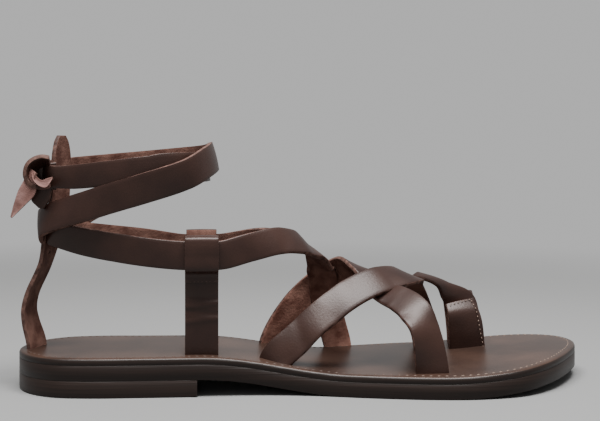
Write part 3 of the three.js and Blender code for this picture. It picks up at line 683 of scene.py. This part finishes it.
TOE_LOOP_ROWS = [
    (on_foot(0.810, 0.206, SEATED),), (on_foot(0.810, 0.206, 0.02),),
    (on_foot(0.806, 0.216, toe_up(0.48)),), (on_foot(0.797, 0.252, toe_up(0.82)),),
    (on_foot(0.796, 0.312, toe_up(0.98)),), (on_foot(0.803, 0.376, toe_up(0.86)),),
    (on_foot(0.810, 0.402, toe_up(0.48)),), (on_foot(0.813, 0.398, 0.02),),
    (on_foot(0.813, 0.398, SEATED),),
]
bm = band(strap_stations(TOE_LOOP_ROWS, steps=10, width=TOE_LOOP_WIDTH, outward=out_from_toe))
finished("toe_loop_look", bm, STRAP_LOOKS, "toe_loop")
# The long edges of the strap and of the ply, from the crossing down to the sole.
TOE_STRAP_LEFT = [
    (148.5, 3, 47.8), (154.8, 6, 46.3), (163.5, 13.0, 41.7), (166.3, 16.3, 35.1), (168.2, 18.6, 30.9),
    (169.1, 17.6, 21.6), (169.5, 17.2, 9.5),
]
TOE_STRAP_RIGHT = [
    (152.7, 10, 48.9), (160.5, 15, 46.4), (170.1, 21, 42.3), (180.3, 23.6, 38.0), (184.1, 23.7, 33.9),
    (185.4, 19.5, 25.4), (187.6, 17.2, 9.5),
]
bm = band(ruled_stations(TOE_STRAP_LEFT, TOE_STRAP_RIGHT), thickness=TOE_STRAP_THICKNESS)
finished("toe_strap", bm, STRAP_LOOKS, "toe_loop")
TOE_PLY_LEFT = [(167.9, 17.3, 32.3), (168.4, 14.0, 27.8), (168.7, 14.0, 20.0), (169.2, 15.3, 9.5)]
TOE_PLY_RIGHT = [(181.5, 20.9, 34.5), (183.6, 16.7, 29.4), (185.0, 15.2, 20.0), (187.1, 15.3, 9.5)]
bm = band(ruled_stations(TOE_PLY_LEFT, TOE_PLY_RIGHT), crown=0.5, thickness=TOE_PLY_THICKNESS)
finished("toe_ply", bm, STRAP_LOOKS, "toe_loop")
# The rows of stitches along the ply's upper edge and down its front edge.
TOE_SEAM_TOP = [(169.2, 16.2, 31.6), (175.0, 17.8, 32.8), (180.6, 19.8, 33.6)]
TOE_SEAM_FRONT = [(180.6, 19.8, 33.6), (182.6, 16.2, 28.8), (183.9, 14.6, 20.0), (185.8, 14.7, 10.2)]
bm = bmesh.new()
for seam in (TOE_SEAM_TOP, TOE_SEAM_FRONT):
    stitches(bm, [Vector(place) for place in seam], [Vector((0, -1, 0))] * len(seam), **TOE_STITCH)
finished("toe_stitches", bm, [thread], "toe_loop")


# Keepers: on each side one ply rises from its slot inside the instep strap, folds over the strap's
# top edge, comes down outside it and is turned against the first ply, to which a short row of
# stitches holds it. Below that the first ply is creased.
KEEPER_SLACK = 0.9
KEEPER_HEADROOM = 0.4
KEEPER_TURNUP = 34.6
KEEPER_FOOT_DEPTH = 0.95
KEEPER_FLESH_SIDE = -0.3
KEEPER_SEAM_STATION = -3
KEEPER_SEAM_INSET = 1.6
KEEPER_STITCH = {"pitch": 1.7, "length": 1.0, "radius": 0.22}
KEEPER_CREASES = [
    (18.0, 0.8, 1.3, -0.45), (21.4, -1.0, 1.2, 0.4), (24.6, 0.9, 1.2, -0.5), (28.0, -0.6, 1.1, 0.45),
]


def keeper_stations(side, foot_across, top, drop):
    """Stations up the first ply, over the strap's top edge and down outside it to the seam."""
    middle = keeper_rows(side, top, drop)[1][0]
    foot_up = -KEEPER_FOOT_DEPTH * INSOLE_THICKNESS / INSTEP_HEIGHT
    foot = on_foot(KEEPER_ALONG, side * foot_across, foot_up)
    up = (middle - foot).normalized()
    out = up.cross(Vector((1, 0, 0))).normalized() * side
    depth = (middle - foot).length
    ply = STRAP_THICKNESS
    hole = INSTEP_WIDTH / 2 + KEEPER_HEADROOM
    end = depth - KEEPER_TURNUP
    inner = -KEEPER_SLACK - ply
    outer = ply + KEEPER_SLACK + ply
    # Places (out, up) from the strap's middle, round the keeper from its foot to its seam.
    path = [(inner, -depth + (depth - end) * share / 10) for share in range(10)] + [
        (inner, -end), (inner, -hole), (inner, 0), (inner, hole - 1),
        (inner + 0.5 * ply, hole + 0.75 * ply), (inner + 1.6 * ply, hole + ply),
        (outer - 0.55 * ply, hole + 0.6 * ply), (outer - 0.12 * ply, hole - 1.6), (outer, hole - 4.5),
        (outer, 0), (outer, 0.5 - hole),
        (inner + 2.4 * ply, -hole - 0.6 * ply), (inner + 2 * ply, -hole - 1.3 * ply),
        (inner + 2 * ply, 0.5 * (-hole - 1.3 * ply - end)), (inner + 2 * ply, -end),
    ]
    places = [middle + out * o + up * u for o, u in path]
    stations = []
    count = (len(places) - 1) * 5
    for i in range(count + 1):
        place, tangent = curve_point(places, i / count), curve_tangent(places, i / count)
        facing = tangent.cross(Vector((1, 0, 0))).normalized() * -side
        across = facing.cross(tangent).normalized()
        stations.append(Station(place, tangent, facing, across, KEEPER_WIDTH / 2))
    return stations


# (name, share of the ball's width across at the foot, place at the top)
KEEPERS = [("lateral", 0.297, LATERAL_KEEPER), ("medial", 0.253, MEDIAL_KEEPER)]
for name, foot_across, (side, top, drop) in KEEPERS:
    stations = keeper_stations(side, foot_across, top, drop)
    bm = band(stations, creases=KEEPER_CREASES, crown=0.15)
    bm.normal_update()
    for face in bm.faces:
        if abs(face.normal.x) < FACE_TOWARDS:
            face.material_index = 0 if face.normal.y * side > KEEPER_FLESH_SIDE else 1
    finished(f"keeper_{name}_look", bm, STRAP_LOOKS, f"keeper_{name}")
    bm = bmesh.new()
    sewn = stations[KEEPER_SEAM_STATION]
    reach = KEEPER_WIDTH / 2 - KEEPER_SEAM_INSET
    line = [sewn.face + Vector((x, 0, 0)) for x in (-reach, 0, reach)]
    stitches(bm, line, [sewn.out] * len(line), **KEEPER_STITCH)
    finished(f"keeper_{name}_stitches", bm, [thread], f"keeper_{name}")


# Heel strap: one ply that stands up from a slot at the back of the heel. It has a long slit that both
# instep straps go through, a small punched hole below the slit and a rounded top.
SLIT_LENGTH = 14.3
SLIT_WIDTH = 5.2
HOLE_DROP = 10.4
HOLE_RADIUS = 1.1


def uncut(place):
    """Whether a place on the heel strap is leather, not slit or punched hole."""
    away = place - slit.face
    if (away + slit.along * HOLE_DROP).length < HOLE_RADIUS:
        return False
    return abs(away.dot(slit.across)) > SLIT_WIDTH / 2 or abs(away.dot(slit.along)) > SLIT_LENGTH / 2


bm = band(strap_stations(HEEL_STRAP_ROWS, steps=10, width=HEEL_STRAP_WIDTH), columns=15, keep=uncut)
finished("heel_strap_look", bm, STRAP_LOOKS, "heel_strap")


# Ankle tie: the two long ends of the instep straps, grain side out. Each comes from behind the heel
# strap and goes once round the ankle, one each way. They cross on the lateral front and meet at the
# back.
TIE_WIDTH = 13.0
BEHIND_HEEL = STRAP_THICKNESS + 0.4
PAST_HEEL = HEEL_STRAP_WIDTH / 2 + STRAP_THICKNESS
UPPER_TURN_ROWS = [
    (slit_place(BEHIND_HEEL, SLIT_SIDE + 0.5),), (slit_place(BEHIND_HEEL, 0.35 * HEEL_STRAP_WIDTH),),
    (slit_place(0.2 * BEHIND_HEEL, PAST_HEEL, 2),), (on_ankle(0.125, 0.255, 0.74),),
    (on_ankle(0.200, 0.305, 0.82),), (on_ankle(0.272, 0.275, 0.90),),
    (on_ankle(0.313, 0.130, 0.94), 0, 8),
    (on_ankle(0.316, -0.050, 0.945), 0, 13), (on_ankle(0.289, -0.235, 0.95), 0, 6),
    (on_ankle(0.228, -0.300, 0.94), 0, 0, 0.92), (on_ankle(0.160, -0.262, 0.92), 0, 0, 0.85),
    (on_ankle(0.098, -0.160, 0.90), 0, 0, 0.82), (on_ankle(0.050, -0.095, 0.90), 0, 0, 0.82),
    (on_ankle(0.040, 0.020, 0.90),),
]
LOWER_TURN_ROWS = [
    (slit_place(BEHIND_HEEL, -SLIT_SIDE - 0.5),), (slit_place(BEHIND_HEEL, -0.35 * HEEL_STRAP_WIDTH),),
    (slit_place(0.2 * BEHIND_HEEL, -PAST_HEEL, 3),), (on_ankle(0.139, -0.250, 0.77),),
    (on_ankle(0.212, -0.318, 0.84), 0.3), (on_ankle(0.278, -0.302, 0.91), 1),
    (on_ankle(0.314, -0.195, 0.97), 1, -8), (on_ankle(0.326, -0.040, 1.00), 1, -14),
    (on_ankle(0.317, 0.130, 0.99), 0.8, -8), (on_ankle(0.285, 0.250, 0.98), 0.5),
    (on_ankle(0.235, 0.305, 0.965),), (on_ankle(0.145, 0.280, 0.94),), (on_ankle(0.078, 0.150, 0.92),),
    (on_ankle(0.040, 0.000, 0.90), 0.9),
]
bm = band(strap_stations(UPPER_TURN_ROWS, steps=10, width=TIE_WIDTH))
finished("upper_turn", bm, STRAP_LOOKS, "ankle_tie")
bm = band(strap_stations(LOWER_TURN_ROWS, steps=10, width=TIE_WIDTH))
finished("lower_turn", bm, STRAP_LOOKS, "ankle_tie")


# Tie knot: the curl of the tie at the back with one strand and a turned lip inside it, its long
# pointed end that shows the pale flesh side, and its short end. It is pulled tight by hand.
KNOT_WIDTH = 0.75 * TIE_WIDTH
CURL_BACK = 4.6
CURL_UP = 5.5
TIE_FLESH_DARK = (0.125, 0.062, 0.052)
TIE_FLESH_LIGHT = (0.230, 0.130, 0.115)
CURL_MIDDLE = on_ankle(0.044, -0.137, 0.915)


def knot_stations(rows):
    """Rows are (back, up, wide, aside, roll), in millimetres from the curl's middle and degrees."""
    line = [Vector((row[0], 0, row[1])) for row in rows]
    extra = [Vector(row[2:]) for row in rows]
    count = (len(rows) - 1) * 8
    stations = []
    for i in range(count + 1):
        t = i / count
        place, tangent = curve_point(line, t), curve_tangent(line, t)
        wide, aside, roll = curve_point(extra, t)
        turned = Matrix.Rotation(math.radians(roll), 3, tangent)
        out = turned @ Vector((-tangent.z, 0, tangent.x))
        face = CURL_MIDDLE + place + out * (STRAP_THICKNESS / 2) + Vector((0, aside, 0))
        across = out.cross(tangent).normalized()
        stations.append(Station(face, tangent, out, across, KNOT_WIDTH * wide / 2))
    return stations


CURL_ROWS = [
    (0.75 * CURL_BACK, 0.95 * CURL_UP, 1, 0, 24), (0, CURL_UP, 1, 0, 26),
    (-0.8 * CURL_BACK, 0.6 * CURL_UP, 1, 0, 28), (-CURL_BACK, -0.1 * CURL_UP, 1, 0, 26),
    (-0.6 * CURL_BACK, -0.75 * CURL_UP, 1, 0, 12), (0.2 * CURL_BACK, -CURL_UP, 1, 0, 0),
    (0.8 * CURL_BACK, -0.9 * CURL_UP, 1, 0, 0),
]
bm = band(knot_stations(CURL_ROWS), columns=7, crown=0.3)
finished("knot_curl", bm, STRAP_LOOKS, "tie_knot")
# The long edges of the strand inside the curl, of the lip and of the two ends.
INNER_LEFT = [(-22.6, -9.6, 100.0), (-23.2, -9.8, 95.0), (-21.5, -10.0, 89.5)]
INNER_RIGHT = [(-14.6, -8.8, 101.0), (-14.4, -9.0, 95.0), (-14.6, -9.4, 88.5)]
bm = band(ruled_stations(INNER_LEFT, INNER_RIGHT), columns=7, crown=0.2, thickness=1.2)
finished("knot_inner", bm, STRAP_LOOKS, "tie_knot")
pale_flesh, tree, shader, mapping = surface(
    "tie_flesh", roughness=0.9, shine=0.12, bump=0.6, bump_scale=900,
)
mottled(tree, shader, mapping, scale=160, dark=TIE_FLESH_DARK, light=TIE_FLESH_LIGHT)
PALE_SIDE_OUT = [pale_flesh, grain, cut_edge]
LONG_END_LEFT = [
    (-25.2, -14.2, 98.4), (-26.3, -14.5, 96.7), (-27.9, -15.5, 93.2),
    (-30.4, -16, 88.4), (-32.4, -16, 82.2), (-33.7, -16, 77.0),
]
LONG_END_RIGHT = [
    (-22.4, -17.6, 96.4), (-22.8, -18, 95.0), (-22.5, -17, 91.0),
    (-23.0, -16.5, 87.0), (-27.8, -16.3, 81.8), (-33.2, -16, 76.5),
]
bm = band(ruled_stations(LONG_END_LEFT, LONG_END_RIGHT), columns=7, crown=-0.4, thickness=1.6)
finished("knot_long_end", bm, PALE_SIDE_OUT, "tie_knot")
LIP_LOW = [
    (-24.4, -17.6, 96.2), (-23.6, -18.0, 93.2), (-20.9, -18.4, 90.6), (-18.0, -18.4, 90.0),
    (-15.4, -17.8, 93.6),
]
LIP_HIGH = [
    (-23.6, -17.2, 96.9), (-21.9, -17.6, 94.6), (-19.8, -17.8, 93.2), (-17.6, -17.8, 94.0),
    (-15.2, -17.4, 94.6),
]
bm = band(ruled_stations(LIP_LOW, LIP_HIGH, steps=6), columns=7, crown=-0.3, thickness=1.0)
finished("knot_lip", bm, PALE_SIDE_OUT, "tie_knot")
SHORT_END_LEFT = [(-21.5, -12, 93.1), (-24.1, -12, 88.6), (-25.4, -12, 84.7), (-22.3, -12, 80.7)]
SHORT_END_RIGHT = [(-16.2, -12, 91.3), (-16.4, -12, 88.6), (-17.1, -12, 85.1), (-19.9, -12, 80.2)]
bm = band(ruled_stations(SHORT_END_LEFT, SHORT_END_RIGHT), columns=7, thickness=1.8)
finished("knot_short_end", bm, STRAP_LOOKS, "tie_knot")


# Studio: a pale plain floor that fades into an even grey backdrop, and one large soft light above.
BACKDROP = 0.535
FLOOR_COLOUR = (0.180, 0.180, 0.178)
FADE_START = 0.30
FADE_END = 0.85
FLOOR_HALF = 12
LIGHT_PLACE = Vector((0.10, -0.22, 0.90))
LIGHT_AIM = Vector((0.10, 0.0, 0.03))
LIGHT_SIZE = (0.8, 0.45)
LIGHT_POWER = 32
floor_look = bpy.data.materials.new("floor")
floor_look.use_nodes = True
nodes, links = floor_look.node_tree.nodes, floor_look.node_tree.links
painted = nodes["Principled BSDF"]
painted.inputs["Base Color"].default_value = (*FLOOR_COLOUR, 1)
painted.inputs["Roughness"].default_value = 0.9
painted.inputs["Specular IOR Level"].default_value = 0.1
glow = nodes.new("ShaderNodeEmission")
glow.inputs["Strength"].default_value = BACKDROP
place = nodes.new("ShaderNodeTexCoord")
distance = nodes.new("ShaderNodeVectorMath")
distance.operation = "LENGTH"
fade = nodes.new("ShaderNodeMapRange")
fade.interpolation_type = "SMOOTHSTEP"
fade.inputs["From Min"].default_value = FADE_START
fade.inputs["From Max"].default_value = FADE_END
blend = nodes.new("ShaderNodeMixShader")
links.new(place.outputs["Object"], distance.inputs[0])
links.new(distance.outputs["Value"], fade.inputs["Value"])
links.new(fade.outputs["Result"], blend.inputs["Fac"])
links.new(painted.outputs["BSDF"], blend.inputs[1])
links.new(glow.outputs["Emission"], blend.inputs[2])
links.new(blend.outputs["Shader"], nodes["Material Output"].inputs["Surface"])
floor_mesh = bpy.data.meshes.new("floor")
bm = bmesh.new()
bmesh.ops.create_grid(bm, x_segments=1, y_segments=1, size=FLOOR_HALF)
bm.to_mesh(floor_mesh)
bm.free()
floor_mesh.materials.append(floor_look)
floor = bpy.data.objects.new("floor", floor_mesh)
bpy.context.scene.collection.objects.link(floor)

world = bpy.data.worlds.new("studio")
world.use_nodes = True
world.node_tree.nodes["Background"].inputs["Color"].default_value = (1, 1, 1, 1)
world.node_tree.nodes["Background"].inputs["Strength"].default_value = BACKDROP
bpy.context.scene.world = world

light = bpy.data.lights.new("top_light", "AREA")
light.shape = "RECTANGLE"
light.size, light.size_y = LIGHT_SIZE
light.energy = LIGHT_POWER
lamp = bpy.data.objects.new("top_light", light)
lamp.location = LIGHT_PLACE
lamp.rotation_euler = (LIGHT_AIM - LIGHT_PLACE).to_track_quat("-Z", "Y").to_euler()
bpy.context.scene.collection.objects.link(lamp)


# Camera: level, about as high as the top of the ankle tie, from the lateral side and turned a little
# towards the toe. Its frame is shifted down, so that it needn't tilt.
LENS = 68.16
SENSOR_WIDTH = 36
FRAME_SHIFT = -0.103
CAMERA_PLACE = (0.0486, -0.5241, 0.107)
VIEW_DIRECTION = Vector((0.0889, 0.996, 0))
camera_data = bpy.data.cameras.new("camera")
camera_data.lens = LENS
camera_data.sensor_width = SENSOR_WIDTH
camera_data.shift_y = FRAME_SHIFT
camera = bpy.data.objects.new("camera", camera_data)
camera.location = CAMERA_PLACE
camera.rotation_euler = VIEW_DIRECTION.to_track_quat("-Z", "Y").to_euler()
bpy.context.scene.collection.objects.link(camera)
bpy.context.scene.camera = camera
